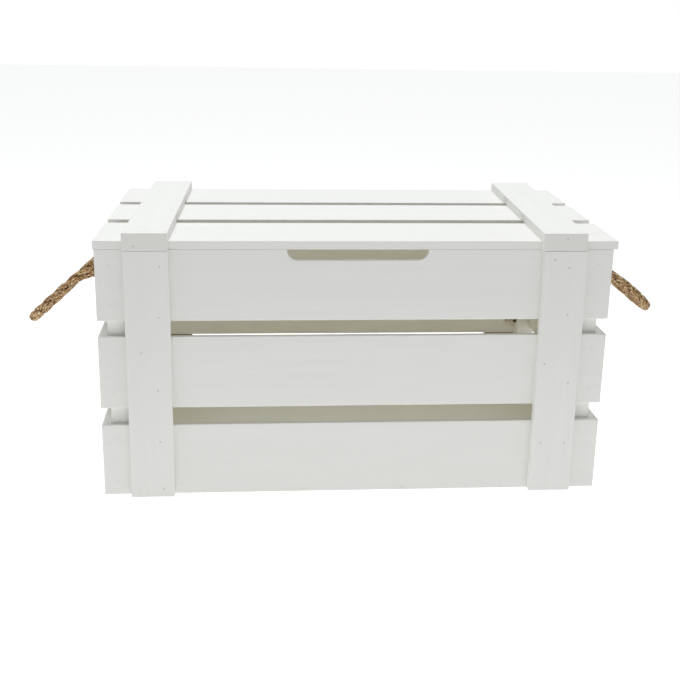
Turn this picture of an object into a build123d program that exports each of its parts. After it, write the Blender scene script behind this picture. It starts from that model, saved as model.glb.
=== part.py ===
from build123d import *
import os
from math import pi, radians, tan

# A slatted wooden storage crate, painted white, with a hinged slatted lid and a rope
# handle at each end. Each wall is three slats, nailed to a square post inside every
# corner. Two flat battens run across the front, the back and the lid.
# Origin: the middle of the lid's outline, on the floor. +X runs along the crate, +Y to
# the hinged back and +Z up. All sizes are in millimetres.

# ---- Overall sizes ----
lid_length = 500.0
lid_depth = 284.0
carcass_length = 495.0
carcass_height = 249.0
carcass_x = -1.4  # the nailed box stands a little left of the lid's middle
arris = 0.5  # chamfer that eases every edge of a board

# ---- Boards of the carcass ----
front_slat = 6.0
end_slat = 9.0
base_thickness = 5.0
post_side = 19.5
batten_width = 42.5
batten_thickness = 8.0
batten_middles = {
    "front": {"left": -200.6, "right": 197.8},
    "back": {"left": -194.9, "right": 207.3},
}
# Heights of the three slats of a wall, lower edge and upper edge.
front_rows = {"bottom": (0.0, 73.7), "middle": (91.5, 163.8), "top": (179.4, carcass_height)}
back_rows = {"bottom": (0.0, 66.0), "middle": (81.5, 154.0), "top": (171.0, carcass_height)}

# ---- Boards of the lid ----
lid_slat = 8.2
lid_batten_thickness = 9.0
lid_batten_middles = {"left": -201.1, "right": 196.2}
lid_rows = {"front": (-142.0, -56.4), "middle": (-39.9, 42.6), "rear": (57.0, 142.0)}
block_gap = 2.0  # between a lid block and the batten below it

# ---- Finger notch in the front's top edge ----
notch_width = 135.5
notch_middle = -1.25
notch_depth = 10.5
notch_corner = 10.4

# ---- Nails and screws ----
nail_radius = 0.6
nail_head_radius = 1.2
nail_head = 0.5
short_nail = 13.0
long_nail = 20.0
lid_nail = 16.0
nail_spread = 5.0  # from a post's middle, so that no two nails in it meet
screw_radius = 0.8
screw_head_radius = 1.6
screw_head = 0.8
screw_slot_width = 0.45
carcass_screw = 6.6
lid_screw = 10.0

# ---- Hinges ----
hinge_offset = 120.0
hinge_length = 38.0
knuckle_count = 5
knuckle_gap = 0.3
leaf_width = 7.5
leaf_thickness = 1.0
barrel_radius = 2.5
pin_radius = 0.9
pin_clearance = 0.05
pin_stand_off = 3.0  # from the back slats' outer face to the pin's axis
pin_cap_radius = 1.6
pin_cap = 0.7
leaf_screw_spacing = 24.0
leaf_screw_drop = 5.0  # from the pin's axis to the screws

# ---- Rope handles ----
rope_radius = 5.6
rope_hole_clearance = 0.6
rope_spacing = 100.0
rope_hole_heights = {"left": 205.0, "right": 212.5}
rope_stand_off = 6.2  # from the end slats' outer face to the line that the loop swings about
knot_radius = 14.0
knot_seat = 11.0  # from the end slats' inner face to the middle of the knot
# A loop's route from the middle of its swing line: outwards, along +Y, upwards.
loop_routes = {
    "left": [
        (0, -50, 0), (11, -50.5, -0.3), (22.5, -51.6, -4.2), (33, -52.2, -13.6), (47, -50.5, -26.5),
        (63, -42, -41.5), (77, -20, -57.5), (76, 14, -61.5), (60, 40, -50.5), (42, 50.5, -34.5),
        (25, 52.5, -18.8), (11.5, 51.6, -6.2), (0, 50, 0),
    ],
    "right": [
        (0, -50, 0), (13, -50.6, -5.6), (28, -51.3, -14), (45, -49.5, -26.3), (63, -42, -41.6),
        (79, -18, -57), (79.5, 18, -58.5), (62, 43, -44), (45, 51, -29.5), (27.5, 52.8, -16),
        (12.5, 51.6, -6.8), (0, 50, 0),
    ],
}
# A tail's route from the middle of its knot: inwards, along +Y, upwards.
tail_routes = {
    "left_front": [(0, 0, 0), (3, -1, -30), (10, -4, -58), (13, -9, -84)],
    "left_rear": [(0, 0, 0), (2, 2, -31), (8, 7, -60), (9, 13, -87)],
    "right_front": [(0, 0, 0), (4, -3, -29), (6, -9, -57), (12, -13, -82)],
    "right_rear": [(0, 0, 0), (7, -1, -29), (18, -3, -58), (31, -4, -87)],
}

# ---- Places that follow from the sizes above ----
wall_y = lid_depth / 2  # outer face of the front and back slats
inner_y = wall_y - front_slat
half_length = carcass_length / 2
inner_x = half_length - end_slat
post_x = inner_x - post_side / 2
post_y = inner_y - post_side / 2
lid_top = carcass_height + lid_slat
batten_top = lid_top + lid_batten_thickness
pin_y = wall_y + pin_stand_off
sides = {"left": -1, "right": 1}
walls = {"front": -1, "back": 1}
wall_rows = {"front": front_rows, "back": back_rows}


def save(piece, label):
    """Names a finished piece and writes it to its own file."""
    piece.part.label = label
    export_step(piece.part, f"parts/{label}.step")


def between(low, high):
    """The middle of a range and its length."""
    return (low + high) / 2, high - low


def board(label, x, y, z):
    """A straight board that fills the ranges x, y and z, with its edges eased."""
    middle_x, length = between(*sorted(x))
    middle_y, width = between(*sorted(y))
    middle_z, height = between(*sorted(z))
    with BuildPart() as piece:
        with BuildSketch(Plane((middle_x, middle_y, middle_z - height / 2))):
            Rectangle(length, width)
        extrude(amount=height)
        chamfer(piece.edges(), arris)
    save(piece, label)


def fasteners(label, places, length):
    """Nails driven into a wall. places are planes on its surface that face outwards."""
    with BuildPart() as nails:
        with Locations(*places):
            Cylinder(nail_radius, length, align=(Align.CENTER, Align.CENTER, Align.MAX))
            Cylinder(nail_head_radius, nail_head, align=(Align.CENTER, Align.CENTER, Align.MAX))
    save(nails, label)


def screws(label, places, length):
    """Countersunk, slotted screws. places are planes on a hinge leaf that face outwards."""
    into = (Align.CENTER, Align.CENTER, Align.MAX)
    with BuildPart() as group:
        with Locations(*places):
            Cylinder(screw_radius, length, align=into)
            Cone(screw_radius, screw_head_radius, screw_head, align=into)
            Box(
                2 * screw_head_radius,
                screw_slot_width,
                screw_head / 2,
                align=into,
                mode=Mode.SUBTRACT,
            )
    save(group, label)


# ---- Carcass: walls ----
def front_top_slat():
    """The front's top slat, with a finger notch whose lower corners are round."""
    low, high = front_rows["top"]
    with BuildPart() as slat:
        with BuildSketch(Plane((carcass_x, -inner_y, low))):
            Rectangle(carcass_length, front_slat, align=(Align.CENTER, Align.MAX))
        extrude(amount=high - low)
        chamfer(slat.edges(), arris)
        with BuildSketch(Plane.XZ.offset(inner_y)) as notch:
            with Locations((notch_middle, high)):
                Rectangle(notch_width, notch_depth, align=(Align.CENTER, Align.MAX))
            fillet(notch.vertices().group_by(Axis.Y)[0], notch_corner)
        extrude(amount=front_slat, mode=Mode.SUBTRACT)
    save(slat, "front_top_slat")


def end_top_slat(side_name):
    """An end's top slat, with the two holes that its rope goes through."""
    side = sides[side_name]
    low, high = front_rows["top"]
    outer = carcass_x + side * half_length
    with BuildPart() as slat:
        with BuildSketch(Plane((outer - side * end_slat / 2, 0, low))):
            Rectangle(end_slat, 2 * inner_y)
        extrude(amount=high - low)
        chamfer(slat.edges(), arris)
        hole_middle = (outer, 0, rope_hole_heights[side_name])
        with BuildSketch(Plane(hole_middle, x_dir=(0, 1, 0), z_dir=(-side, 0, 0))):
            with GridLocations(rope_spacing, 0, 2, 1):
                Circle(rope_radius + rope_hole_clearance)
        extrude(amount=end_slat, mode=Mode.SUBTRACT)
    save(slat, f"{side_name}_end_top_slat")


def make_walls():
    """The slats of the four walls."""
    wall_x = (carcass_x - half_length, carcass_x + half_length)
    for wall, face in walls.items():
        for row, heights in wall_rows[wall].items():
            if (wall, row) != ("front", "top"):
                board(f"{wall}_{row}_slat", wall_x, (face * inner_y, face * wall_y), heights)
    front_top_slat()
    for side_name, side in sides.items():
        end_x = (carcass_x + side * inner_x, carcass_x + side * half_length)
        for row in ("bottom", "middle"):
            name = f"{side_name}_end_{row}_slat"
            board(name, end_x, (-inner_y, inner_y), front_rows[row])
        end_top_slat(side_name)


def make_frame():
    """The base panel, the corner posts that stand on it and the outer battens."""
    panel_x = (carcass_x - inner_x, carcass_x + inner_x)
    board("base_panel", panel_x, (-inner_y, inner_y), (0, base_thickness))
    for wall, face in walls.items():
        for side_name, side in sides.items():
            post = carcass_x + side * post_x
            batten = batten_middles[wall][side_name]
            board(
                f"{wall}_{side_name}_post",
                (post - post_side / 2, post + post_side / 2),
                (face * (inner_y - post_side), face * inner_y),
                (base_thickness, carcass_height),
            )
            board(
                f"{wall}_{side_name}_batten",
                (batten - batten_width / 2, batten + batten_width / 2),
                (face * wall_y, face * (wall_y + batten_thickness)),
                (0, carcass_height),
            )


# ---- Lid ----
def make_lid():
    """The lid's slats, the battens across them and the blocks at the battens' front ends."""
    for row, depths in lid_rows.items():
        lid_x = (-lid_length / 2, lid_length / 2)
        board(f"lid_{row}_slat", lid_x, depths, (carcass_height, lid_top))
    for side_name, middle in lid_batten_middles.items():
        batten_x = (middle - batten_width / 2, middle + batten_width / 2)
        board(f"lid_{side_name}_batten", batten_x, (-wall_y, wall_y), (lid_top, batten_top))
        board(
            f"lid_{side_name}_block",
            batten_x,
            (-wall_y - batten_thickness, -wall_y),
            (carcass_height + block_gap, batten_top),
        )


# ---- Nails ----
def on_wall(x, z, face=-1, stand_out=0.0):
    """A plane on the front's or the back's outer face, facing outwards."""
    return Plane((x, face * (wall_y + stand_out), z), z_dir=(0, face, 0))


def make_batten_nails():
    """Nails through the upright battens into the slats, driven by eye."""
    front_nails = [
        (-188, 234.5), (-190, 185), (-207, 150), (-193, 112), (-192, 59), (-190, 9),
        (187, 240.5), (201, 233), (203, 186), (184, 136), (209, 116), (186, 52), (210, 52),
    ]
    front = [on_wall(x, z, -1, batten_thickness) for x, z in front_nails]
    fasteners("front_batten_nails", front, short_nail)
    back = []
    for middle in batten_middles["back"].values():
        for low, high in back_rows.values():
            for lean, height in ((-11, low + 18), (9, high - 19)):
                back.append(on_wall(middle + lean, height, 1, batten_thickness))
    fasteners("back_batten_nails", back, short_nail)


def make_post_nails():
    """Nails through the slats' ends into the corner posts."""
    for wall, face in walls.items():
        places = []
        for side in sides.values():
            for low, high in wall_rows[wall].values():
                for height in (low + 15, high - 15):
                    x = carcass_x + side * (post_x + nail_spread)
                    places.append(on_wall(x, height, face))
        fasteners(f"{wall}_slat_nails", places, long_nail)
    for side_name, side in sides.items():
        outer = carcass_x + side * half_length
        places = []
        for face in walls.values():
            for low, high in front_rows.values():
                for height in (low + 24, high - 24):
                    y = face * (post_y - nail_spread)
                    places.append(Plane((outer, y, height), z_dir=(side, 0, 0)))
        fasteners(f"{side_name}_end_nails", places, long_nail)


def make_base_nails():
    """Nails up through the base panel into the posts, and through the walls into its edges."""
    places = []
    for face in walls.values():
        for side in sides.values():
            x = carcass_x + side * (post_x - nail_spread)
            y = face * (post_y - nail_spread)
            places.append(Plane((x, y, 0), z_dir=(0, 0, -1)))
        for x in (-150, -50, 50, 150):
            places.append(on_wall(carcass_x + x, base_thickness / 2, face))
    for side in sides.values():
        for y in (-60, 60):
            outer = carcass_x + side * half_length
            places.append(Plane((outer, y, base_thickness / 2), z_dir=(side, 0, 0)))
    fasteners("base_nails", places, long_nail)


def make_lid_nails():
    """Nails down through the lid's battens into its slats, and through the front blocks."""
    places = []
    for middle in lid_batten_middles.values():
        for low, high in lid_rows.values():
            for lean, y in ((-10, low + 20), (11, high - 22)):
                places.append(Plane((middle + lean, y, batten_top)))
    fasteners("lid_batten_nails", places, lid_nail)
    blocks = [on_wall(x, z, -1, batten_thickness) for x, z in ((-211, 253.6), (198, 261))]
    fasteners("lid_block_nails", blocks, long_nail)


# ---- Hinges ----
def hinge_leaf(label, x, side, own_knuckles):
    """One leaf of a butt hinge. side is 1 for the lid's leaf, above the pin, and -1 below it."""
    pitch = hinge_length / knuckle_count
    places = [x + (i - (knuckle_count - 1) / 2) * pitch for i in range(knuckle_count)]
    own = [(place, pin_y, carcass_height) for place in places[own_knuckles::2]]
    others = [(place, wall_y, carcass_height) for place in places[1 - own_knuckles :: 2]]
    from_pin = (Align.CENTER, Align.MIN, Align.MIN if side > 0 else Align.MAX)
    along_x = (0, 90, 0)
    with BuildPart() as leaf:
        with Locations((x, wall_y, carcass_height)):
            Box(hinge_length, leaf_thickness, leaf_width, align=from_pin)
        with Locations(*others):
            Box(
                pitch + knuckle_gap,
                leaf_thickness,
                barrel_radius,
                align=from_pin,
                mode=Mode.SUBTRACT,
            )
        with Locations(*own):
            Cylinder(barrel_radius, pitch - knuckle_gap, rotation=along_x)
        with Locations(*[(place[0], wall_y, carcass_height) for place in own]):
            Box(pitch - knuckle_gap, pin_stand_off, leaf_thickness * 1.5, align=from_pin)
        with Locations((x, pin_y, carcass_height)):
            Cylinder(
                pin_radius + pin_clearance,
                hinge_length,
                rotation=along_x,
                mode=Mode.SUBTRACT,
            )
        with Locations(*leaf_screw_planes(x, side)):
            CounterSinkHole(screw_radius + 0.1, screw_head_radius + 0.1, leaf_thickness)
    save(leaf, label)


def leaf_screw_planes(x, side):
    """Planes on the outside of a leaf at its screws, facing outwards."""
    z = carcass_height + side * leaf_screw_drop
    ends = (x - leaf_screw_spacing / 2, x + leaf_screw_spacing / 2)
    return [on_wall(end, z, 1, leaf_thickness) for end in ends]


def hinge_pin(label, x):
    """A hinge's pin, with a flat cap outside each end knuckle."""
    pitch = hinge_length / knuckle_count
    reach = (hinge_length - knuckle_gap) / 2
    with BuildPart() as pin:
        with Locations((x, pin_y, carcass_height)):
            Cylinder(pin_radius, 2 * reach, rotation=(0, 90, 0))
        for end in (-1, 1):
            with Locations((x + end * (reach + pin_cap / 2), pin_y, carcass_height)):
                Cylinder(pin_cap_radius, pin_cap, rotation=(0, 90, 0))
    save(pin, label)


def make_hinges():
    """Two butt hinges outside the back, each with its leaves, pin and four screws."""
    middles = {name: carcass_x + side * hinge_offset for name, side in sides.items()}
    for name, x in middles.items():
        hinge_leaf(f"{name}_hinge_lid_leaf", x, 1, 1)
        hinge_leaf(f"{name}_hinge_carcass_leaf", x, -1, 0)
        hinge_pin(f"{name}_hinge_pin", x)
    upper = [plane for x in middles.values() for plane in leaf_screw_planes(x, 1)]
    lower = [plane for x in middles.values() for plane in leaf_screw_planes(x, -1)]
    screws("hinge_lid_screws", upper, lid_screw)
    screws("hinge_carcass_screws", lower, carcass_screw)


# ---- Rope handles ----
def bend_radii(points):
    """The largest arc that the two runs beside each corner of a route allow."""
    radii = []
    for before, corner, after in zip(points, points[1:], points[2:]):
        first = Vector(corner) - Vector(before)
        second = Vector(after) - Vector(corner)
        half_turn = radians(first.get_angle(second)) / 2
        radii.append(0.45 * min(first.length, second.length) / tan(half_turn))
    return radii


def rope_loop(side_name):
    """The loop outside an end: a tube that droops outwards, with round ends in its holes."""
    side = sides[side_name]
    swing_x = carcass_x + side * (half_length + rope_stand_off)
    height = rope_hole_heights[side_name]
    points = [
        (swing_x + side * outwards, along, height + up)
        for outwards, along, up in loop_routes[side_name]
    ]
    radii = bend_radii(points)
    with BuildPart() as loop:
        with BuildLine():
            route = FilletPolyline(*points, radius=radii)
        with BuildSketch(Plane(route @ 0, z_dir=route % 0)):
            Circle(rope_radius)
        sweep(path=route)
        swept = loop.part.volume
        with Locations(route @ 0, route @ 1):
            Sphere(rope_radius)
    report_rope(f"{side_name} loop", radii, route.length, swept)
    save(loop, f"{side_name}_rope_loop")


def rope_end(side_name, end_name):
    """The rope inside an end: the stretch in the hole, the stopper knot and the tail."""
    side = sides[side_name]
    name = f"{side_name}_{end_name}"
    y = (-1 if end_name == "front" else 1) * rope_spacing / 2
    z = rope_hole_heights[side_name]
    outer = carcass_x + side * half_length
    inner = outer - side * end_slat
    knot = inner - side * knot_seat
    points = [(knot - side * inwards, y + along, z + up) for inwards, along, up in tail_routes[name]]
    radii = bend_radii(points)
    with BuildPart() as end:
        with BuildLine():
            route = FilletPolyline(*points, radius=radii)
        with BuildSketch(Plane(route @ 0, z_dir=route % 0)):
            Circle(rope_radius)
        sweep(path=route)
        swept = end.part.volume
        with Locations((knot, y, z)):
            Sphere(knot_radius)
        with Locations(Plane((inner, y, z), z_dir=(side, 0, 0))):
            Cylinder(
                knot_radius,
                knot_radius,
                align=(Align.CENTER, Align.CENTER, Align.MIN),
                mode=Mode.SUBTRACT,
            )
        with Locations(Plane((outer, y, z), z_dir=(-side, 0, 0))):
            Cylinder(
                rope_radius,
                end_slat + knot_seat,
                align=(Align.CENTER, Align.CENTER, Align.MIN),
            )
    report_rope(f"{name} tail", radii, route.length, swept)
    save(end, f"{name}_rope_end")


def report_rope(name, radii, length, swept):
    """Prints a tube's bends in diameters, and its volume against its section times its length."""
    diameters = [round(radius / (2 * rope_radius), 1) for radius in radii]
    share = swept / (pi * rope_radius**2 * length)
    print(f"{name}: length {length:.1f} mm, bends {diameters} diameters, volume {share:.4f}")


def make_ropes():
    """A loop outside and two knotted ends inside, at each end of the crate."""
    for side_name in sides:
        rope_loop(side_name)
        for end_name in ("front", "rear"):
            rope_end(side_name, end_name)


os.makedirs("parts", exist_ok=True)
make_walls()
make_frame()
make_lid()
make_batten_nails()
make_post_nails()
make_base_nails()
make_lid_nails()
make_hinges()
make_ropes()
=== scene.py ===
import zlib
from math import cos, pi, radians, sin

import bpy
import numpy as np
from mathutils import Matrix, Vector, noise


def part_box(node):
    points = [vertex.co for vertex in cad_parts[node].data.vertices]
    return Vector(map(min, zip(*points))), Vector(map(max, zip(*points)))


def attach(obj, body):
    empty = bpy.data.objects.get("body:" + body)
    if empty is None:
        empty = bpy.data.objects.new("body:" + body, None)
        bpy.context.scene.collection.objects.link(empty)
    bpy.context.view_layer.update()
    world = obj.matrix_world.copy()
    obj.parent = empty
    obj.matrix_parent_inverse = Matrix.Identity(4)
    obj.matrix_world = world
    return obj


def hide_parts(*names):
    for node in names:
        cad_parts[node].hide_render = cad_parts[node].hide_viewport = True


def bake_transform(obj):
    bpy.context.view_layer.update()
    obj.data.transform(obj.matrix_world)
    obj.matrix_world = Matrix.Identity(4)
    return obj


# The look of a small slatted crate, painted white, with a hinged lid and jute rope handles.
# Everything is in metres, in the CAD model's frame. Boards and nails are rebuilt over their
# CAD nodes, the ropes follow the CAD routes, and the hinges keep their CAD shapes.

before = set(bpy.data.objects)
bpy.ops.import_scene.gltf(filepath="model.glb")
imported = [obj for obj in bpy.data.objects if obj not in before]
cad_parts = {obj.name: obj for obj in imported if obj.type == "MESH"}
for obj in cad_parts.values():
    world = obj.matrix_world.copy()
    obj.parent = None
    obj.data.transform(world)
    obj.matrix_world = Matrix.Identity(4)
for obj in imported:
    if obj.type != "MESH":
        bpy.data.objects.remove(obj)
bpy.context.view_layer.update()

# ---- Camera ----
CAMERA_PLACE = (-0.10556, -1.18227, 0.48576)
CAMERA_TURN = (72.6415, -1.0284, -4.525)  # degrees about x, y and z
CAMERA_LENS = 59.807  # mm, on a sensor 36 mm wide

# ---- Ropes: the routes repeat part.py's ----
ROPE_RADIUS = 0.0056
ROPE_HOLES = {"left": 0.205, "right": 0.2125}
ROPE_SPACING = 0.100
ROPE_STAND_OFF = 0.0062
KNOT_SEAT = 0.011  # from a slat's inner face to where the tail's route starts
KNOT_DROP = 0.018  # from there down to where the tail leaves the knot
KNOT_SQUEEZE = 0.0045  # half the distance between turns that press on each other
KNOT_POINTS = 64
KNOT_ROUNDS = 600  # of drawing its rope in
LEAD_IN = 0.0035  # from a slat's inner face to where the knot starts
# From the middle of the line that a loop swings about: outwards, along +Y, upwards.
LOOP_ROUTES = {
    "left": [
        (0, -0.050, 0), (0.011, -0.0505, -0.0003), (0.0225, -0.0516, -0.0042), (0.033, -0.0522, -0.0136),
        (0.047, -0.0505, -0.0265), (0.063, -0.042, -0.0415), (0.077, -0.020, -0.0575),
        (0.076, 0.014, -0.0615), (0.060, 0.040, -0.0505), (0.042, 0.0505, -0.0345),
        (0.025, 0.0525, -0.0188), (0.0115, 0.0516, -0.0062), (0, 0.050, 0),
    ],
    "right": [
        (0, -0.050, 0), (0.013, -0.0506, -0.0056), (0.028, -0.0513, -0.014), (0.045, -0.0495, -0.0263),
        (0.063, -0.042, -0.0416), (0.079, -0.018, -0.057), (0.0795, 0.018, -0.0585),
        (0.062, 0.043, -0.044), (0.045, 0.051, -0.0295), (0.0275, 0.0528, -0.016),
        (0.0125, 0.0516, -0.0068), (0, 0.050, 0),
    ],
}
# From the middle of the knot: inwards, along +Y, upwards.
TAIL_ROUTES = {
    "left_front": [(0, 0, 0), (0.003, -0.001, -0.030), (0.010, -0.004, -0.058), (0.013, -0.009, -0.084)],
    "left_rear": [(0, 0, 0), (0.002, 0.002, -0.031), (0.008, 0.007, -0.060), (0.009, 0.013, -0.087)],
    "right_front": [(0, 0, 0), (0.004, -0.003, -0.029), (0.006, -0.009, -0.057), (0.012, -0.013, -0.082)],
    "right_rear": [(0, 0, 0), (0.010, -0.001, -0.029), (0.025, -0.003, -0.058), (0.031, -0.004, -0.0888)],
}
SIDES = {"left": -1, "right": 1}

# ---- How the rope is laid ----
STRANDS = 3
STRAND_OFFSET = 0.0025  # from the rope's middle to a strand's
STRAND_DEPTH = 0.0027  # a strand's radius outwards
STRAND_WIDTH = 0.0033  # a strand's radius along the rope's surface
LAY_LENGTH = 0.058  # along the rope, for one turn of a strand
YARNS = 7
YARN_TURN = 0.026  # along the rope, for one turn of a yarn in its strand
RING_STEP = 0.0010  # along the rope, from one ring of a strand's surface to the next
RING_POINTS = 35
LOOSE_END = 0.018  # length over which a tail's end comes undone
FIBRE_REACH = 0.0084  # furthest that a loose fibre stands from the rope's middle
FIBRE_POINTS = 7
LOOP_FIBRES = 380
KNOT_FIBRES = 90
TAIL_FIBRES = 60
BRUSH_FIBRES = 110  # at a tail's loose end

# ---- Light ----
WORLD_FRONT = 0.22  # strength of the surroundings low on the camera's side
WORLD_TOP = 0.91  # and high up behind the crate
WORLD_BRIGHT_WAY = (0.0, 0.6, 0.8)  # towards where they are strongest
WORLD_TINT = (0.968, 0.985, 1.0, 1.0)
KEY_POWER = 22.5
KEY_PLACE = (-0.15, -0.05, 2.4)
KEY_TARGET = (0, 0, 0.2)
KEY_WIDTH = 1.0
KEY_TINT = (0.98, 0.99, 1.0)
FLOOR_REACH = 6.0
FLOOR_GLOW = 0.66
FLOOR_LIGHT_POOL = 0.30  # painted pool of light: how much brighter the floor's glow is round the crate, where it fills in the crate's shadow
FLOOR_LIGHT_POOL_EDGES = (0.35, 1.1)  # from the crate's middle, where that starts and stops fading

# ---- Boards ----
ARRIS = 0.0007  # radius of a board's eased edges
SEAM_ARRIS = 0.4  # how much of that radius the edges between the lid and the walls have
EDGE_VARIATION = 0.35  # share by which that radius varies along an edge
EDGE_RIPPLES = 55  # how fast it varies, per metre
GRID_PITCH = 0.011  # between the points of a board's faces
WAVE_DEPTH = 0.00014
FACE_WAVES = 11  # how fast the waves in a face vary, per metre
DIMPLE_DEPTH = 0.00028
DIMPLE_RADIUS = 0.0012
NOTCH_WIDTH = 0.1355
NOTCH_MIDDLE = -0.00125
NOTCH_DEPTH = 0.0105
NOTCH_PULL = 0.028  # height of the slat's top part whose points the notch draws down
NOTCH_FADE = 0.016  # how much of that height, from below, takes it to the full depth
HOLE_RADIUS = 0.0062
HOLE_RIM = 0.0009  # radius of a rope hole's worn edge
# How far the lid's rear edge stands towards +X of square, at its ends and at its battens
LID_RACK = {"left": 0.0074, "right": 0.0030, "battens": 0.0096}
# How far a board's low and high corners stand from the CAD model's
CORNER_MOVES = {
    "lid_left_block": ((0, 0, -0.0019), (0, 0, 0)),
    "lid_right_block": ((0, 0, -0.0017), (0, 0, 0)),
    "back_right_post": ((0.004, 0, 0), (0.004, 0, 0)),
    "back_middle_slat": ((0, 0, -0.0006), (0, 0, 0)),
}

# ---- Nails ----
NAIL_NODES = {
    "crate": [
        "front_batten_nails", "back_batten_nails", "front_slat_nails", "back_slat_nails",
        "left_end_nails", "right_end_nails", "base_nails",
    ],
    "lid": ["lid_batten_nails", "lid_block_nails"],
}
WORN_NAILS = ("front_batten_nails", "back_batten_nails", "lid_block_nails", "lid_batten_nails")
NAIL_POINTS = 18
# Radius, depth below the board's face and share of rim dirt, from a head's middle outwards
NAIL_PROFILE = [
    (0.0004, 0.00012, 0.0), (0.0008, 0.00015, 0.0), (0.00105, 0.00021, 0.35),
    (0.0012, 0.00036, 1.0), (0.0012, 0.0007, 1.0),
]


def seed(name):
    """A random generator that gives the same numbers for a name every time."""
    return np.random.default_rng(zlib.crc32(name.encode()))


def add_object(name, vertices, faces, material, layers=None):
    """A smooth mesh object with one material. layers are float values for each vertex, by name."""
    mesh = bpy.data.meshes.new(name)
    mesh.from_pydata([tuple(v) for v in vertices], [], faces)
    for layer, values in (layers or {}).items():
        attribute = mesh.attributes.new(layer, "FLOAT", "POINT")
        attribute.data.foreach_set("value", np.asarray(values, np.float32))
    mesh.shade_smooth()
    mesh.materials.append(material)
    piece = bpy.data.objects.new(name, mesh)
    bpy.context.collection.objects.link(piece)
    return piece


# ---- Camera, floor and light ----
def make_camera():
    """The photo's viewpoint, a little above the lid and left of the middle."""
    data = bpy.data.cameras.new("camera")
    data.sensor_width = 36.0
    data.lens = CAMERA_LENS
    camera = bpy.data.objects.new("camera", data)
    camera.location = CAMERA_PLACE
    camera.rotation_euler = [radians(angle) for angle in CAMERA_TURN]
    bpy.context.collection.objects.link(camera)
    bpy.context.scene.camera = camera


def make_lamp():
    """One large soft lamp overhead that faces the crate."""
    data = bpy.data.lights.new("key_lamp", "AREA")
    data.shape = "DISK"
    data.size = KEY_WIDTH
    data.energy = KEY_POWER
    data.color = KEY_TINT
    lamp = bpy.data.objects.new("key_lamp", data)
    lamp.location = KEY_PLACE
    lamp.visible_camera = False
    to_crate = Vector(KEY_TARGET) - Vector(KEY_PLACE)
    lamp.rotation_euler = to_crate.to_track_quat("-Z", "Y").to_euler()
    bpy.context.collection.objects.link(lamp)


def make_surroundings():
    """White surroundings, whose light is strongest high up behind the crate."""
    world = bpy.data.worlds.new("studio")
    bpy.context.scene.world = world
    world.use_nodes = True
    nodes, links = world.node_tree.nodes, world.node_tree.links
    nodes.clear()
    output = nodes.new("ShaderNodeOutputWorld")
    choice = nodes.new("ShaderNodeMixShader")
    path = nodes.new("ShaderNodeLightPath")
    soft = nodes.new("ShaderNodeBackground")
    white = nodes.new("ShaderNodeBackground")
    soft.inputs["Color"].default_value = WORLD_TINT
    direction = nodes.new("ShaderNodeVectorMath")
    direction.operation = "DOT_PRODUCT"
    direction.inputs[1].default_value = WORLD_BRIGHT_WAY
    place = nodes.new("ShaderNodeTexCoord")
    strength = nodes.new("ShaderNodeMapRange")
    strength.interpolation_type = "SMOOTHSTEP"
    strength.inputs["To Min"].default_value = WORLD_FRONT
    strength.inputs["To Max"].default_value = WORLD_TOP
    links.new(place.outputs["Generated"], direction.inputs[0])
    links.new(direction.outputs["Value"], strength.inputs["Value"])
    links.new(strength.outputs["Result"], soft.inputs["Strength"])
    white.inputs["Color"].default_value = (1.0, 1.0, 1.0, 1.0)
    white.inputs["Strength"].default_value = 1.0
    links.new(path.outputs["Is Camera Ray"], choice.inputs[0])
    links.new(soft.outputs[0], choice.inputs[1])
    links.new(white.outputs[0], choice.inputs[2])
    links.new(choice.outputs[0], output.inputs["Surface"])


def make_floor():
    """A pale floor with a glow of its own, and a painted pool of light round the crate where the glow is
    stronger.
    """
    material, shader = new_material("pale_floor")
    shader.inputs["Base Color"].default_value = (0.45, 0.45, 0.45, 1)
    shader.inputs["Roughness"].default_value = 0.9
    shader.inputs["Specular IOR Level"].default_value = 0.1
    shader.inputs["Emission Color"].default_value = (1, 1, 1, 1)
    nodes = Nodes(material)
    place = nodes.add("ShaderNodeTexCoord").outputs["Object"]
    distance = nodes.add("ShaderNodeVectorMath", operation="LENGTH")
    nodes.feed(distance.inputs[0], place)
    # painted pool of light: the glow is stronger near the crate and fades further away
    light_pool = nodes.add("ShaderNodeMapRange", interpolation_type="SMOOTHSTEP")
    nodes.feed(light_pool.inputs["Value"], distance.outputs["Value"])
    light_pool.inputs["From Min"].default_value = FLOOR_LIGHT_POOL_EDGES[0]
    light_pool.inputs["From Max"].default_value = FLOOR_LIGHT_POOL_EDGES[1]
    light_pool.inputs["To Min"].default_value = FLOOR_GLOW + FLOOR_LIGHT_POOL
    light_pool.inputs["To Max"].default_value = FLOOR_GLOW
    nodes.feed(shader.inputs["Emission Strength"], light_pool.outputs["Result"])
    corners = [(x * FLOOR_REACH, y * FLOOR_REACH, 0) for x, y in ((-1, -1), (1, -1), (1, 1), (-1, 1))]
    floor = add_object("floor", corners, [(0, 1, 2, 3)], material)


def make_studio():
    """A pale floor, white surroundings and soft light that comes mostly from above."""
    scene = bpy.context.scene
    scene.view_settings.view_transform = "Standard"
    scene.cycles.diffuse_bounces = 12
    make_surroundings()
    make_floor()
    make_lamp()


# ---- Materials ----
def new_material(name):
    """A material and its main shader, ready for nodes."""
    material = bpy.data.materials.new(name)
    material.use_nodes = True
    return material, material.node_tree.nodes["Principled BSDF"]


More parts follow.
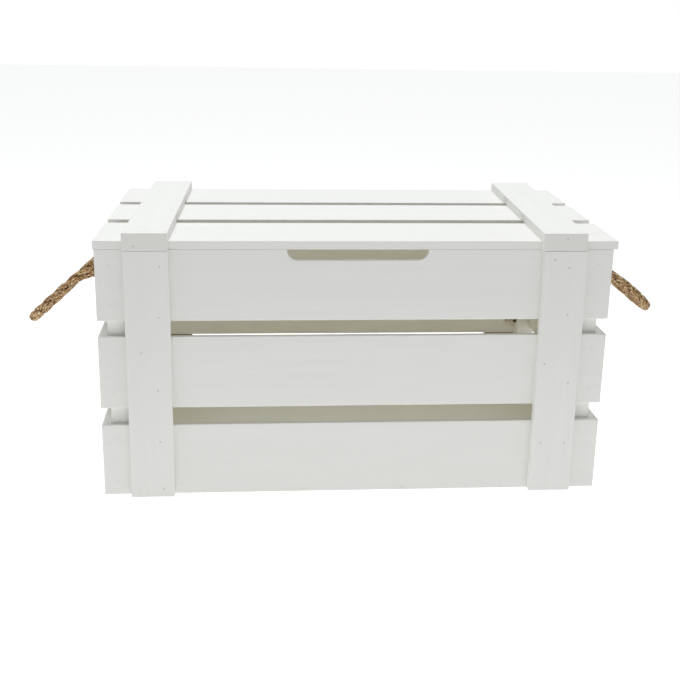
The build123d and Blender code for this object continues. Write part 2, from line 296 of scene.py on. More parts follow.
class Nodes:
    """Short ways to add and join a material's nodes. A value may be a number or an output."""

    def __init__(self, material):
        self.tree = material.node_tree

    def add(self, kind, **settings):
        """A node, with its sockets set by number or name, or linked when given an output."""
        node = self.tree.nodes.new(kind)
        for key, value in settings.items():
            if key.startswith("in_"):
                socket = node.inputs[key[3:].replace("_", " ")]
                self.feed(socket, value)
            else:
                setattr(node, key, value)
        return node

    def feed(self, socket, value):
        if isinstance(value, bpy.types.NodeSocket):
            self.tree.links.new(value, socket)
        else:
            socket.default_value = value

    def math(self, operation, first, second=0.0):
        node = self.tree.nodes.new("ShaderNodeMath")
        node.operation = operation
        self.feed(node.inputs[0], first)
        self.feed(node.inputs[1], second)
        return node.outputs[0]

    def ramp(self, value, *stops):
        """A colour ramp through (place, colour) stops."""
        node = self.tree.nodes.new("ShaderNodeValToRGB")
        elements = node.color_ramp.elements
        elements[0].position, elements[0].color = stops[0]
        elements[1].position, elements[1].color = stops[-1]
        for place, colour in stops[1:-1]:
            elements.new(place).color = colour
        self.feed(node.inputs[0], value)
        return node.outputs["Color"]

    def mix(self, share, first, second):
        node = self.tree.nodes.new("ShaderNodeMix")
        node.data_type = "RGBA"
        self.feed(node.inputs["Factor"], share)
        self.feed(node.inputs["A"], first)
        self.feed(node.inputs["B"], second)
        return node.outputs["Result"]

    def noise(self, vector, scale, detail=3.0, roughness=0.5):
        node = self.add("ShaderNodeTexNoise", in_Scale=scale, in_Detail=detail, in_Roughness=roughness)
        self.feed(node.inputs["Vector"], vector)
        return node.outputs["Fac"]

    def bump(self, height, strength, distance, before=None):
        node = self.add("ShaderNodeBump", in_Strength=strength, in_Distance=distance)
        self.feed(node.inputs["Height"], height)
        if before is not None:
            self.feed(node.inputs["Normal"], before)
        return node.outputs["Normal"]


def outer_paint(nodes, place, grain, rings, end_grain):
    """White paint that the grain shows through a little, thinner on end grain and rubbed on the
    edges."""
    patches = nodes.noise(place, 7.0, 2.0, 0.5)
    pores = nodes.noise(place, 1400.0, 3.0, 0.7)
    edge = nodes.add("ShaderNodeAttribute", attribute_name="arris").outputs["Fac"]
    fibres = nodes.ramp(grain, (0.30, (0.836, 0.836, 0.800, 1)), (0.62, (0.884, 0.884, 0.852, 1)))
    broad = nodes.ramp(rings, (0.35, (0.848, 0.848, 0.812, 1)), (0.65, (0.880, 0.880, 0.848, 1)))
    paint = nodes.mix(0.6, fibres, broad)
    paint = nodes.mix(nodes.math("MULTIPLY", patches, 0.5), paint, (0.868, 0.870, 0.836, 1))
    cut = nodes.ramp(pores, (0.35, (0.73, 0.72, 0.67, 1)), (0.62, (0.86, 0.86, 0.82, 1)))
    paint = nodes.mix(nodes.math("MULTIPLY", end_grain, 0.7), paint, cut)
    rub = nodes.math("MULTIPLY", edge, nodes.math("MULTIPLY", pores, 0.35))
    return nodes.mix(rub, paint, (0.68, 0.65, 0.57, 1))


def painted_wood(grain_axis):
    """Matt white paint on planed softwood, with the grain along x, y or z (0, 1 or 2). Inside
    the crate the paint is brighter and warmer, as painted light for the light that bounces
    round inside, and the walls' battens are a darker brown where they lie against the slats."""
    material, shader = new_material("white_paint_" + "xyz"[grain_axis])
    nodes = Nodes(material)
    coordinates = nodes.add("ShaderNodeTexCoord")
    place = coordinates.outputs["Object"]
    stretch = [1.0, 1.0, 1.0]
    stretch[grain_axis] = 0.045
    along = nodes.add("ShaderNodeMapping")
    along.inputs["Scale"].default_value = stretch
    nodes.feed(along.inputs["Vector"], place)
    grain = nodes.noise(along.outputs["Vector"], 260.0, 5.0, 0.6)
    rings = nodes.noise(along.outputs["Vector"], 60.0, 2.0, 0.5)
    normal = nodes.add("ShaderNodeSeparateXYZ")
    nodes.feed(normal.inputs[0], coordinates.outputs["Normal"])
    facing = nodes.math("ABSOLUTE", normal.outputs[grain_axis])
    end_grain = nodes.math("GREATER_THAN", facing, 0.8)

    paint = outer_paint(nodes, place, grain, rings, end_grain)
    # painted light: inside the crate the paint is brighter and warmer, for the light that bounces round
    # inside
    painted_inner_light = nodes.ramp(grain, (0.3, (0.935, 0.926, 0.862, 1)), (0.65, (0.965, 0.958, 0.905, 1)))
    inside = nodes.add("ShaderNodeAttribute", attribute_name="inside").outputs["Fac"]
    paint = nodes.mix(inside, paint, painted_inner_light)
    # a darker brown for the walls' battens where they lie against the slats
    dark_brown = nodes.ramp(grain, (0.3, (0.250, 0.180, 0.110, 1)), (0.65, (0.440, 0.345, 0.235, 1)))
    dark_brown_face = nodes.add("ShaderNodeAttribute", attribute_name="dark_brown_face").outputs["Fac"]
    nodes.feed(shader.inputs["Base Color"], nodes.mix(dark_brown_face, paint, dark_brown))
    sheen = nodes.ramp(grain, (0.3, (0.62, 0.62, 0.62, 1)), (0.7, (0.48, 0.48, 0.48, 1)))
    nodes.feed(shader.inputs["Roughness"], sheen)
    shader.inputs["Specular IOR Level"].default_value = 0.35
    relief = nodes.bump(grain, 0.28, 0.00020)
    relief = nodes.bump(rings, 0.18, 0.00040, relief)
    roller = nodes.noise(place, 900.0, 2.0, 0.6)
    nodes.feed(shader.inputs["Normal"], nodes.bump(roller, 0.16, 0.00012, relief))
    return material


def painted_nail(name, head_tones, rim_tone):
    """The paint on nail heads: head_tones are its darkest and lightest, and the rim holds a
    little dirt of rim_tone."""
    material, shader = new_material(name)
    nodes = Nodes(material)
    coordinates = nodes.add("ShaderNodeTexCoord").outputs["Object"]
    patches = nodes.noise(coordinates, 1800.0, 3.0, 0.6)
    rim = nodes.add("ShaderNodeAttribute", attribute_name="rim").outputs["Fac"]
    head = nodes.ramp(patches, (0.35, head_tones[0]), (0.65, head_tones[1]))
    shade = nodes.mix(rim, head, rim_tone)
    nodes.feed(shader.inputs["Base Color"], shade)
    shader.inputs["Roughness"].default_value = 0.5
    nodes.feed(shader.inputs["Normal"], nodes.bump(patches, 0.4, 0.0001))
    return material


def hinge_steel():
    """Zinc-plated steel with fine rolling lines along the hinge."""
    material, shader = new_material("hinge_steel")
    nodes = Nodes(material)
    coordinates = nodes.add("ShaderNodeTexCoord").outputs["Object"]
    along = nodes.add("ShaderNodeMapping")
    along.inputs["Scale"].default_value = (0.06, 1.0, 1.0)
    nodes.feed(along.inputs["Vector"], coordinates)
    lines = nodes.noise(along.outputs["Vector"], 2600.0, 4.0, 0.6)
    bloom = nodes.noise(coordinates, 160.0, 3.0, 0.6)
    tone = nodes.ramp(bloom, (0.35, (0.50, 0.51, 0.52, 1)), (0.65, (0.68, 0.69, 0.70, 1)))
    nodes.feed(shader.inputs["Base Color"], tone)
    shader.inputs["Metallic"].default_value = 1.0
    dull = nodes.ramp(bloom, (0.3, (0.46, 0.46, 0.46, 1)), (0.7, (0.28, 0.28, 0.28, 1)))
    nodes.feed(shader.inputs["Roughness"], dull)
    nodes.feed(shader.inputs["Normal"], nodes.bump(lines, 0.25, 0.00006))
    return material


def jute():
    """Jute fibre: streaks along the yarns from straw to brown, with painted shade that darkens
    the grooves between strands and yarns and a tail's loose end.
    """
    material, shader = new_material("jute")
    nodes = Nodes(material)
    along = nodes.add("ShaderNodeAttribute", attribute_name="along").outputs["Fac"]
    around = nodes.add("ShaderNodeAttribute", attribute_name="around").outputs["Fac"]
    painted_shade = nodes.add("ShaderNodeAttribute", attribute_name="painted_shade").outputs["Fac"]
    place = nodes.add("ShaderNodeCombineXYZ")
    nodes.feed(place.inputs[0], nodes.math("MULTIPLY", along, 210.0))
    nodes.feed(place.inputs[1], nodes.math("MULTIPLY", around, 15.0))
    streaks = nodes.noise(place.outputs[0], 1.0, 7.0, 0.72)
    spot = nodes.add("ShaderNodeTexCoord").outputs["Object"]
    mottle = nodes.noise(spot, 430.0, 4.0, 0.65)
    fuzz = nodes.noise(spot, 1500.0, 3.0, 0.7)
    tone = nodes.math("ADD", nodes.math("MULTIPLY", streaks, 0.55), nodes.math("MULTIPLY", mottle, 0.25))
    tone = nodes.math("ADD", tone, nodes.math("MULTIPLY", fuzz, 0.20))
    colour = nodes.ramp(
        tone,
        (0.440, (0.034, 0.010, 0.002, 1)),
        (0.466, (0.200, 0.080, 0.022, 1)),
        (0.500, (0.450, 0.235, 0.085, 1)),
        (0.532, (0.850, 0.600, 0.320, 1)),
        (0.565, (1.000, 0.880, 0.600, 1)),
    )
    # painted shade: the colour goes towards near black where strands and yarns meet and at a tail's loose
    # end
    colour = nodes.mix(nodes.math("MULTIPLY", painted_shade, 0.85), colour, (0.045, 0.018, 0.007, 1))
    nodes.feed(shader.inputs["Base Color"], colour)
    shader.inputs["Roughness"].default_value = 0.75
    shader.inputs["Specular IOR Level"].default_value = 0.18
    shader.inputs["Sheen Weight"].default_value = 0.08
    relief = nodes.bump(streaks, 0.9, 0.0007)
    nodes.feed(shader.inputs["Normal"], nodes.bump(fuzz, 0.5, 0.0003, relief))
    return material


# ---- Rope ----
def route_points(name, points):
    """Evenly spaced points of the smooth NURBS line through a cord's route."""
    data = bpy.data.curves.new(name, "CURVE")
    data.dimensions = "3D"
    data.resolution_u = 40
    spline = data.splines.new("NURBS")
    spline.points.add(len(points) - 1)
    for point, place in zip(spline.points, points):
        point.co = (*place, 1.0)
    spline.order_u = 3
    spline.use_endpoint_u = True
    curve = bpy.data.objects.new(name, data)
    bpy.context.collection.objects.link(curve)
    mesh = bpy.data.meshes.new_from_object(curve)
    line = np.array([v.co for v in mesh.vertices])
    bpy.data.objects.remove(curve)
    return even_steps(line, RING_STEP)


def even_steps(line, step):
    """The same line with its points a step apart."""
    length = np.linalg.norm(np.diff(line, axis=0), axis=1).sum()
    return spread(line, int(round(length / step)) + 1)


def spread(line, count):
    """The same line as count points the same distance apart."""
    reach = np.concatenate([[0], np.cumsum(np.linalg.norm(np.diff(line, axis=0), axis=1))])
    places = np.linspace(0, reach[-1], count)
    return np.stack([np.interp(places, reach, line[:, k]) for k in range(3)], axis=1)


def unit(vectors):
    """The same directions with length 1."""
    return vectors / np.linalg.norm(vectors, axis=-1, keepdims=True)


def turning_frames(line):
    """Directions across a line that turn with it and don't twist about it."""
    tangents = unit(np.gradient(line, axis=0))
    start = np.cross(tangents[0], (0.0, 0.0, 1.0))
    if np.linalg.norm(start) < 0.1:
        start = np.cross(tangents[0], (0.0, 1.0, 0.0))
    across = [start / np.linalg.norm(start)]
    for tangent in tangents[1:]:
        turned = across[-1] - tangent * np.dot(across[-1], tangent)
        across.append(turned / np.linalg.norm(turned))
    across = np.array(across)
    return tangents, across, np.cross(tangents, across)


class Surface:
    """Collects closed tubes, with the values that the jute material reads, into one mesh."""

    def __init__(self):
        self.vertices, self.faces = [], []
        self.layers = {"along": [], "around": [], "painted_shade": []}
        self.count = 0

    def tube(self, rings, along, around, painted_shade):
        """A tube through rings, shaped (rings, points, 3), closed at both ends."""
        length, points = rings.shape[:2]
        number = np.arange(length * points).reshape(length, points) + self.count
        beside = np.roll(number, -1, axis=1)
        sides = np.stack([number[:-1], beside[:-1], beside[1:], number[1:]], axis=-1)
        self.faces += sides.reshape(-1, 4).tolist()
        self.faces += [number[0, ::-1].tolist(), number[-1].tolist()]
        self.vertices.append(rings.reshape(-1, 3))
        shape = (length, points)
        for layer, values in (("along", along), ("around", around), ("painted_shade", painted_shade)):
            self.layers[layer].append(np.broadcast_to(values, shape).reshape(-1))
        self.count += length * points

    def piece(self, name, material):
        layers = {layer: np.concatenate(values) for layer, values in self.layers.items()}
        return add_object(name, np.concatenate(self.vertices), self.faces, material, layers)


def lay_strands(surface, line, rng, first=0, last=None, loosen=0.0):
    """Three strands of twisted yarns along a line, from ring first to ring last.
    loosen is how far from its end the rope comes undone, as a length."""
    _, across, upright = turning_frames(line)
    s = np.arange(len(line)) * RING_STEP
    undone = np.clip((s - (s[-1] - loosen)) / loosen, 0, 1) ** 2 if loosen else np.zeros(len(s))
    angles = pi + 2 * pi * np.arange(RING_POINTS) / RING_POINTS
    rings = slice(first, last)
    for strand in range(STRANDS):
        lay = 2 * pi * (s / LAY_LENGTH + strand / STRANDS)
        out = across * np.cos(lay)[:, None] + upright * np.sin(lay)[:, None]
        middle = line + out * (STRAND_OFFSET * (1 + 1.5 * undone))[:, None]
        forward = unit(np.gradient(middle, axis=0))
        outward = unit(out - forward * np.sum(out * forward, axis=1)[:, None])
        sideways = np.cross(forward, outward)
        waver = rng.uniform(0, 2 * pi, 4)
        lumps = 1 + 0.030 * np.sin(s / 0.0071 + waver[0]) + 0.022 * np.sin(s / 0.0027 + waver[1])
        yarn_turn = 2 * pi * s / YARN_TURN + 0.25 * np.sin(s / 0.006 + waver[2])
        yarn_angle = angles[None, :] + yarn_turn[:, None]
        yarn = np.abs(np.sin(YARNS / 2 * yarn_angle))
        rough = 0.02 * np.sin(3 * angles[None, :] + (s / 0.0017 + waver[3])[:, None])
        size = (0.895 + 0.105 * yarn + rough * yarn) * lumps[:, None] * (1 - 0.25 * undone)[:, None]
        size = np.minimum(size, 1.02)
        shape = (
            middle[:, None]
            + outward[:, None] * (STRAND_DEPTH * size * np.cos(angles))[..., None]
            + sideways[:, None] * (STRAND_WIDTH * size * np.sin(angles))[..., None]
        )
        # painted shade, a value for each point: the strands' inner sides, the hollows between yarns and a
        # tail's loose end are darkened in colour
        inside = np.clip(0.55 - np.cos(angles), 0, 1)[None, :]
        painted_shade = np.maximum(np.maximum(inside, (1 - yarn) ** 3), 0.9 * undone[:, None])
        around = strand + (angles - pi)[None, :] / (2 * pi) + (s / YARN_TURN)[:, None]
        surface.tube(shape[rings], s[rings, None], around[rings], painted_shade[rings])


def held_close(path, line, start):
    """A fibre's path near the line's point start, drawn in to FIBRE_REACH where it is further."""
    near = line[max(0, start - 16) : start + 17]
    gaps = path[:, None] - near[None]
    nearest = near[np.argmin((gaps**2).sum(axis=2), axis=1)]
    off = path - nearest
    reach = np.linalg.norm(off, axis=1, keepdims=True)
    return nearest + off * np.minimum(1, FIBRE_REACH / np.maximum(reach, 1e-9))


def add_fibres(surface, line, rng, count, lift, end_only=0.0):
    """Fine loose fibres that lie along a line's rope and stand off it by up to lift.
    end_only keeps them to that length at the line's end, where they spread beyond it."""
    tangents, across, upright = turning_frames(line)
    t = np.linspace(0, 1, FIBRE_POINTS)
    corners = [0, 2 * pi / 3, 4 * pi / 3]
    for _ in range(count):
        if end_only:
            start = int(len(line) - 1 - rng.uniform(0, end_only) / RING_STEP)
            way = 1.0
            length = rng.uniform(0.005, 0.013)
            deep = ROPE_RADIUS * np.sqrt(rng.uniform(0, 1)) * 0.9
        else:
            start = int(rng.uniform(0.02, 0.98) * (len(line) - 1))
            way = rng.choice((-1.0, 1.0))
            length = rng.uniform(0.004, 0.012)
            deep = ROPE_RADIUS * 0.93
        turn = rng.uniform(0, 2 * pi)
        out = across[start] * cos(turn) + upright[start] * sin(turn)
        side = np.cross(tangents[start], out)
        swerve = rng.uniform(-0.5, 0.5) * length
        rise = rng.uniform(0.2, 1.0) * lift
        path = (
            line[start]
            + out * deep
            + tangents[start] * (way * length * t)[:, None]
            + out * (rise * t**1.6)[:, None]
            + side * (swerve * t**2)[:, None]
        )
        path = held_close(path, line, start)
        _, sideways, third = turning_frames(path)
        thick = rng.uniform(0.00005, 0.00009) * (1 - 0.6 * t)
        rings = np.stack(
            [path + (sideways * cos(a) + third * sin(a)) * thick[:, None] for a in corners], axis=1
        )
        surface.tube(rings, (t * length)[:, None] + start * RING_STEP, rng.uniform(0, 3), 0.0)


def end_faces(side_name):
    """The x of an end slat's outer and inner faces."""
    low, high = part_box(f"{side_name}_end_top_slat")
    return (low.x, high.x) if SIDES[side_name] < 0 else (high.x, low.x)


def make_loop(side_name, material):
    """A handle: the rope from inside one hole, round the loop and into the other hole."""
    side, height = SIDES[side_name], ROPE_HOLES[side_name]
    outer, inner = end_faces(side_name)
    lead_in = inner - side * LEAD_IN
    swing_x = outer + side * ROPE_STAND_OFF
    outside = [
        (swing_x + side * outwards, along, height + up)
        for outwards, along, up in LOOP_ROUTES[side_name]
    ]
    route = [(lead_in, outside[0][1], height), *outside, (lead_in, outside[-1][1], height)]
    line = route_points(f"{side_name}_loop_route", route)
    rng = seed(f"{side_name}_loop")
    surface = Surface()
    lay_strands(surface, line, rng)
    add_fibres(surface, line, rng, LOOP_FIBRES, 0.0024)
    rope = surface.piece(f"{side_name}_rope_handle", material)
    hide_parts(f"{side_name}_rope_loop")
    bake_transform(rope)


def tie_knot(hole, tail, tail_way, hand):
    """The line of a tight overhand knot, as inwards from the slat, along +Y times hand, and up.
    The rope comes straight out of the slat at hole and leaves the knot at tail. The loose knot
    is a trefoil cut open at one lobe. Its rope is drawn in while its turns press on each other
    and on the slat."""
    count = KNOT_POINTS
    t = np.linspace(0.5 - pi, pi - 0.5, count)
    loose = np.stack(
        [
            0.0225 - 0.0052 * (np.sin(t) + 2 * np.sin(2 * t)),
            -0.0058 * hand * np.sin(3 * t),
            0.008 + 0.0052 * (np.cos(t) - 2 * np.cos(2 * t)),
        ],
        axis=1,
    )
    straight = np.array([1.0, 0.0, 0.0])
    ends = (hole, hole + straight * 0.003), (tail - tail_way * 0.003, tail)
    line = spread(np.concatenate([ends[0], loose, ends[1]]), count)
    far = np.abs(np.arange(count)[:, None] - np.arange(count)[None])
    for turn in range(KNOT_ROUNDS):
        step = np.linalg.norm(np.diff(line, axis=0), axis=1).mean()
        line[1:-1] += 0.35 * ((line[:-2] + line[2:]) / 2 - line[1:-1])
        for _ in range(2):
            off = line[:, None] - line[None]
            gaps = np.linalg.norm(off, axis=2) + np.eye(count)
            touching = (far * step > 2.6 * KNOT_SQUEEZE) & (gaps < 2 * KNOT_SQUEEZE)
            push = np.where(touching, (2 * KNOT_SQUEEZE - gaps) / gaps, 0)
            line += 0.25 * (off * push[:, :, None]).sum(axis=1)
        line[3:, 0] = np.maximum(line[3:, 0], ROPE_RADIUS)
        line[:2] = [hole, hole + straight * step]
        line[-2:] = [tail - tail_way * step, tail]
        if turn % 10 == 9:
            line = spread(line, count)
    return line


def soften(line, rounds):
    """Takes the small kinks out of a line, and leaves its ends in place."""
    line = line.copy()
    for _ in range(rounds):
        line[1:-1] = (line[:-2] + 2 * line[1:-1] + line[2:]) / 4
    return line


def rope_end_line(side_name, end_name):
    """The line through a stopper knot and its tail, and how many of its points come before
    the tail."""
    name = f"{side_name}_{end_name}"
    side = SIDES[side_name]
    inner = end_faces(side_name)[1]
    hand = -1 if end_name == "front" else 1
    y, height = hand * ROPE_SPACING / 2, ROPE_HOLES[side_name]
    route = [
        (inner - side * (KNOT_SEAT + inwards), y + along, height + up)
        for inwards, along, up in TAIL_ROUTES[name]
    ]
    tail = route_points(f"{name}_tail_route", route)
    tail = tail[tail[:, 2] < height - KNOT_DROP]
    to_knot, way = np.array([-side, 1, 1]), unit(tail[3] - tail[0])
    hole = np.array([inner, y, height])
    knot_end = (tail[0] - hole) * to_knot
    knot = tie_knot(np.array([LEAD_IN, 0, 0]), knot_end, way * to_knot, hand)
    line = soften(even_steps(np.concatenate([hole + knot * to_knot, tail[1:]]), RING_STEP), 14)
    return line, len(line) - len(tail)


def make_rope_end(side_name, end_name, material):
    """The rope inside an end: a stopper knot against the slat and a tail that hangs from it."""
    name = f"{side_name}_{end_name}"
    line, split = rope_end_line(side_name, end_name)
    for part, first, last in (("knot", 0, split + 1), ("tail", split, None)):
        rng = seed(name)  # the same for both, so that the strands go on from one to the other
        surface = Surface()
        own = line[first:last]
        lay_strands(surface, line, rng, first, last, loosen=LOOSE_END)
        add_fibres(surface, own, rng, KNOT_FIBRES if part == "knot" else TAIL_FIBRES, 0.0022)
        if part == "tail":
            add_fibres(surface, own, rng, BRUSH_FIBRES, 0.0050, end_only=0.006)
        piece = surface.piece(f"{name}_rope_{part}", material)
        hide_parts(f"{name}_rope_end")
        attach(piece, "crate")


# ---- Nails ----
def nail_heads(node):
    """Middle, outward direction and axis of each nail head in a CAD node."""
    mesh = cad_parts[node].data
    corners = np.array([v.co for v in mesh.vertices])
    _, first, welded = np.unique(corners.round(6), axis=0, return_index=True, return_inverse=True)
    spots = corners[first]
    group = np.arange(len(spots))
    edges = welded.reshape(-1)[np.array([e.vertices for e in mesh.edges])]
    while True:
        low = np.minimum(group[edges[:, 0]], group[edges[:, 1]])
        before = group.copy()
        np.minimum.at(group, edges[:, 0], low)
        np.minimum.at(group, edges[:, 1], low)
        if (group == before).all():
            break
    heads = []
    for label in np.unique(group):
        nail = spots[group == label]
        low, high = nail.min(0), nail.max(0)
        middle = (low + high) / 2
        axis = int(np.argmax(high - low))
        radial = np.linalg.norm(np.delete(nail - middle, axis, axis=1), axis=1)
        widest = nail[radial > radial.max() * 0.95][:, axis].mean()
        way = 1 if widest > middle[axis] else -1
        middle[axis] = high[axis] if way > 0 else low[axis]
        heads.append((middle, axis, way))
    return heads


def make_nails(body, node, material):
    """Painted nail heads, each a shallow dome set a little into its board."""
    rng = seed(node)
    points = NAIL_POINTS
    vertices, faces, rim = [], [], []
    for middle, axis, way in nail_heads(node):
        first, second = np.eye(3)[(axis + 1) % 3], np.eye(3)[(axis + 2) % 3] * way
        inwards = -way * np.eye(3)[axis]
        tilt = rng.uniform(-0.05, 0.05, 2)
        begin = len(vertices)
        for radius, depth, dirt in NAIL_PROFILE:
            for k in range(points):
                a = 2 * pi * k / points
                lean = radius * (tilt[0] * cos(a) + tilt[1] * sin(a))
                place = middle + first * radius * cos(a) + second * radius * sin(a)
                vertices.append(place + inwards * (depth + lean))
                rim.append(dirt)
        for row in range(len(NAIL_PROFILE) - 1):
            for k in range(points):
                a, b = begin + row * points + k, begin + row * points + (k + 1) % points
                faces.append((a, a + points, b + points, b))
        top = [begin + k for k in range(points)]
        bottom = [begin + (len(NAIL_PROFILE) - 1) * points + k for k in range(points)]
        faces += [top, bottom[::-1]]
    if body == "lid":
        vertices = racked(node, np.array(vertices))
    piece = add_object(f"{node}_heads", vertices, faces, material, {"rim": rim})
    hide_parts(node)
    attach(piece, body)


# ---- Boards ----
def grid_lines(low, high, extra=()):
    """Places along one side of a board: close together over its rounded edges and at extra."""
    offsets = ARRIS * np.array([0, 0.3, 0.65, 1.0, 2.0])
    kept = [*(low + offsets), *(high - offsets)]
    steps = max(1, round((high - low) / GRID_PITCH))
    for place in [*extra, *np.linspace(low, high, steps + 1)]:
        if low < place < high and min(abs(place - other) for other in kept) > 0.00025:
            kept.append(place)
    return np.array(sorted(kept))


def lattice(lines):
    """The surface points and faces of a box that is cut along lines on each axis."""
    shape = [len(line) for line in lines]
    surface = np.ones(shape, bool)
    surface[1:-1, 1:-1, 1:-1] = False
    number = np.full(shape, -1)
    number[surface] = np.arange(surface.sum())
    points = np.stack(np.meshgrid(*lines, indexing="ij"), axis=-1)[surface]
    faces = []
    for axis in range(3):
        for side in (0, -1):
            sheet = np.take(number, side, axis=axis)
            quads = [sheet[:-1, :-1], sheet[1:, :-1], sheet[1:, 1:], sheet[:-1, 1:]]
            if (side == 0) != (axis == 1):
                quads.reverse()
            faces += np.stack(quads, axis=-1).reshape(-1, 4).tolist()
    return points, faces


def within_crate(points, margin):
    """1 for points inside the walls, the base and the lid, or up to margin outside, else 0."""
    low, high = (np.array(corner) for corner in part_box("base_panel"))
    floor, ceiling = high[2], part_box("lid_middle_slat")[0].z
    inside = (points[:, :2] > low[:2] - margin) & (points[:, :2] < high[:2] + margin)
    height = points[:, 2]
    return inside.all(axis=1) & (height > floor - margin) & (height < ceiling + margin)


def racked(name, points):
    """Points of a lid piece, moved sideways by more towards the back: the lid isn't square."""
    front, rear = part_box("lid_front_slat"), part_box("lid_rear_slat")
    back = np.clip((points[:, 1] - front[0].y) / (rear[1].y - front[0].y), 0, 1)
    if name.endswith("slat"):
        share = (points[:, 0] - front[0].x) / (front[1].x - front[0].x)
        shift = LID_RACK["left"] * (1 - share) + LID_RACK["right"] * share
    else:
        shift = LID_RACK["battens"]
    return points + (shift * back)[:, None] * np.array([1.0, 0.0, 0.0])


def notch_drop(x):
    """How far the finger notch lowers the front's top edge at x. Its lower corners are round."""
    from_end = NOTCH_WIDTH / 2 - abs(x - NOTCH_MIDDLE)
    bend = np.clip(1 - from_end / NOTCH_DEPTH, 0, 1)
    return np.where(from_end > 0, NOTCH_DEPTH * np.sqrt(1 - bend**2), 0)


def nails_of(low, high, heads):
    """Those nail heads that lie on the faces of the board from low to high."""
    return [
        (middle, axis, way)
        for middle, axis, way in heads
        if abs(middle[axis] - (high if way > 0 else low)[axis]) < 0.0002
        and (np.delete(middle, axis) > np.delete(low, axis)).all()
        and (np.delete(middle, axis) < np.delete(high, axis)).all()
    ]


def board_lines(low, high, nails, notched):
    """The grid lines of a board on each axis, with more of them at its nails and the notch."""
    around = DIMPLE_RADIUS * np.array([-2.2, -1.5, -1.0, -0.5, 0, 0.5, 1.0, 1.5, 2.2])
    extra = [[], [], []]
    for middle, axis, _ in nails:
        for other in range(3):
            if other != axis:
                extra[other] += list(middle[other] + around)
    if notched:
        corner = NOTCH_DEPTH * (1 - np.cos(np.linspace(0, pi / 2, 12)))
        for end in (-1, 1):
            brink = NOTCH_MIDDLE + end * NOTCH_WIDTH / 2
            extra[0] += [*(brink - end * corner), brink + end * 0.0003, brink + end * 0.003]
        extra[2] += list(high[2] - np.arange(0.002, 0.026, 0.004))
    return [grid_lines(low[k], high[k], extra[k]) for k in range(3)]


def eased(name, points, low, high, edge_share):
    """A board's points with rounded, uneven edges and wavy faces, and the directions in which
    they lie from its core. edge_share is how much of the usual radius the edges have."""
    offset = seed(name).uniform(-50, 50, 3)
    uneven = np.array([noise.noise(Vector(p * EDGE_RIPPLES + offset)) for p in points])
    radius = (ARRIS * (1 + EDGE_VARIATION * uneven) * edge_share)[:, None]
    core = np.clip(points, low + radius, high - radius)
    away = points - core
    away /= np.linalg.norm(away, axis=1, keepdims=True)
    wave = np.array([noise.noise(Vector(p * FACE_WAVES + offset)) for p in points])
    return core + away * (radius - WAVE_DEPTH * (0.5 + 0.5 * wave)[:, None]), away


def board(name, body, material, heads):
    """A board over its CAD node: eased, slightly uneven edges, gently wavy faces and a
    shallow dimple at each nail head in heads. The walls' battens are a darker brown where
    they lie against the slats."""
    low, high = (np.array(corner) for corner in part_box(name))
    if name in CORNER_MOVES:
        low, high = low + CORNER_MOVES[name][0], high + CORNER_MOVES[name][1]
    nails = nails_of(low, high, heads)
    notched = name == "front_top_slat"
    points, faces = lattice(board_lines(low, high, nails, notched))
    at_seam = np.abs(points[:, 2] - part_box("lid_front_slat")[0].z) < 2 * ARRIS
    if notched:
        at_seam &= notch_drop(points[:, 0]) == 0
    shaped, away = eased(name, points, low, high, np.where(at_seam, SEAM_ARRIS, 1))
    arris = np.clip((np.abs(away).sum(axis=1) - 1) * 2.5, 0, 1)
    for middle, axis, way in nails:
        reach = np.linalg.norm(np.delete(points - middle, axis, axis=1), axis=1)
        on_face = abs(points[:, axis] - middle[axis]) < 1e-6
        shaped[:, axis] -= way * DIMPLE_DEPTH * on_face * np.exp(-((reach / DIMPLE_RADIUS) ** 4))
    if notched:
        near_top = np.clip((points[:, 2] - (high[2] - NOTCH_PULL)) / NOTCH_FADE, 0, 1)
        shaped[:, 2] -= notch_drop(points[:, 0]) * near_top
    margin = -0.0003 if name.endswith("post") else 0.0003
    # marks the front and back battens' faces against the slats, which get a darker brown colour
    dark_brown_face = away[:, 1] * np.sign(-low[1]) > 0.9
    dark_brown_face &= name.startswith(("front", "back")) and name.endswith("batten")
    layers = {"arris": arris, "inside": within_crate(points, margin), "dark_brown_face": dark_brown_face}
    if body == "lid":
        shaped = racked(name, shaped)
    piece = add_object(name + "_board", shaped, faces, material, layers)
    if name.endswith("end_top_slat"):
        drill_rope_holes(piece, name.split("_")[0])
    piece.data.set_sharp_from_angle(angle=radians(50))
    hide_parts(name)
    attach(piece, body)


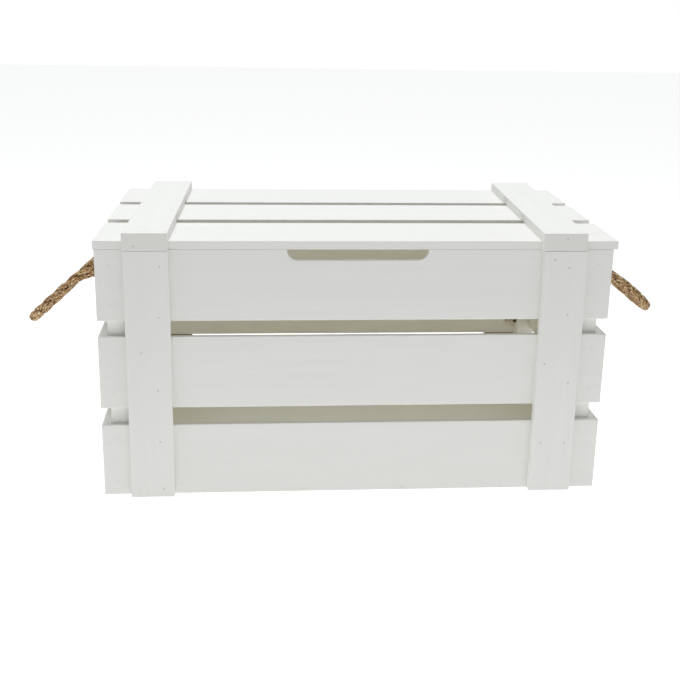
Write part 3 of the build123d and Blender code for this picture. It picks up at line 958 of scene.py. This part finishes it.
def drill_rope_holes(piece, side_name):
    """Cuts the two rope holes through an end slat, with a worn, rounded rim."""
    outer, inner = sorted(end_faces(side_name))
    points = 48
    turns = np.linspace(0, pi / 2, 5)
    flare = [(HOLE_RIM * (1 - sin(t)), HOLE_RIM * (1 - cos(t))) for t in turns]
    profile = [(outer - 0.002, HOLE_RIM + 0.001), (outer, HOLE_RIM)]
    profile += [(outer + depth, wide) for wide, depth in flare[1:]]
    profile += [(inner - depth, wide) for wide, depth in reversed(flare[1:])]
    profile += [(inner, HOLE_RIM), (inner + 0.002, HOLE_RIM + 0.001)]
    for y in (-ROPE_SPACING / 2, ROPE_SPACING / 2):
        vertices, faces = [], []
        for x, wide in profile:
            radius = HOLE_RADIUS + wide
            for k in range(points):
                a = 2 * pi * k / points
                vertices.append((x, y + radius * cos(a), ROPE_HOLES[side_name] + radius * sin(a)))
        for row in range(len(profile) - 1):
            for k in range(points):
                a, b = row * points + k, row * points + (k + 1) % points
                faces.append((a, b, b + points, a + points))
        faces.append(list(range(points))[::-1])
        faces.append(list(range((len(profile) - 1) * points, len(profile) * points)))
        drill = add_object("drill", vertices, faces, piece.data.materials[0])
        cut = piece.modifiers.new("hole", "BOOLEAN")
        cut.operation = "DIFFERENCE"
        cut.solver = "EXACT"
        cut.object = drill
        bpy.context.view_layer.update()
        whole = piece.evaluated_get(bpy.context.evaluated_depsgraph_get())
        mesh = bpy.data.meshes.new_from_object(whole)
        piece.modifiers.clear()
        piece.data = mesh
        bpy.data.objects.remove(drill)


def make_boards():
    """Every board of the carcass and the lid, with the grain along its length."""
    grain = [painted_wood(axis) for axis in range(3)]
    heads = {body: [h for node in nodes for h in nail_heads(node)] for body, nodes in NAIL_NODES.items()}
    for node in sorted(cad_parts):
        if not node.endswith(("slat", "post", "batten", "block", "panel")):
            continue
        body = "lid" if node.startswith("lid") else "crate"
        size = np.array(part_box(node)[1]) - np.array(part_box(node)[0])
        axis = 1 if node.endswith("block") else int(np.argmax(size))
        board(node, body, grain[axis], heads[body])


def make_hardware():
    """Nail heads, and the steel of the hinges and their screws."""
    worn_tones = (0.58, 0.57, 0.54, 1), (0.74, 0.73, 0.69, 1)
    worn = painted_nail("worn_nail", worn_tones, (0.46, 0.43, 0.38, 1))
    filled_tones = (0.78, 0.78, 0.74, 1), (0.85, 0.85, 0.81, 1)
    filled = painted_nail("filled_nail", filled_tones, (0.66, 0.65, 0.60, 1))
    for body, nodes in NAIL_NODES.items():
        for node in nodes:
            make_nails(body, node, worn if node in WORN_NAILS else filled)
    steel = hinge_steel()
    for node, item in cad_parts.items():
        if "hinge" in node:
            item.data.materials.clear()
            item.data.materials.append(steel)


def make_ropes():
    material = jute()
    for side_name in SIDES:
        make_loop(side_name, material)
        for end_name in ("front", "rear"):
            make_rope_end(side_name, end_name, material)


make_camera()
make_ropes()
make_studio()
make_boards()
make_hardware()
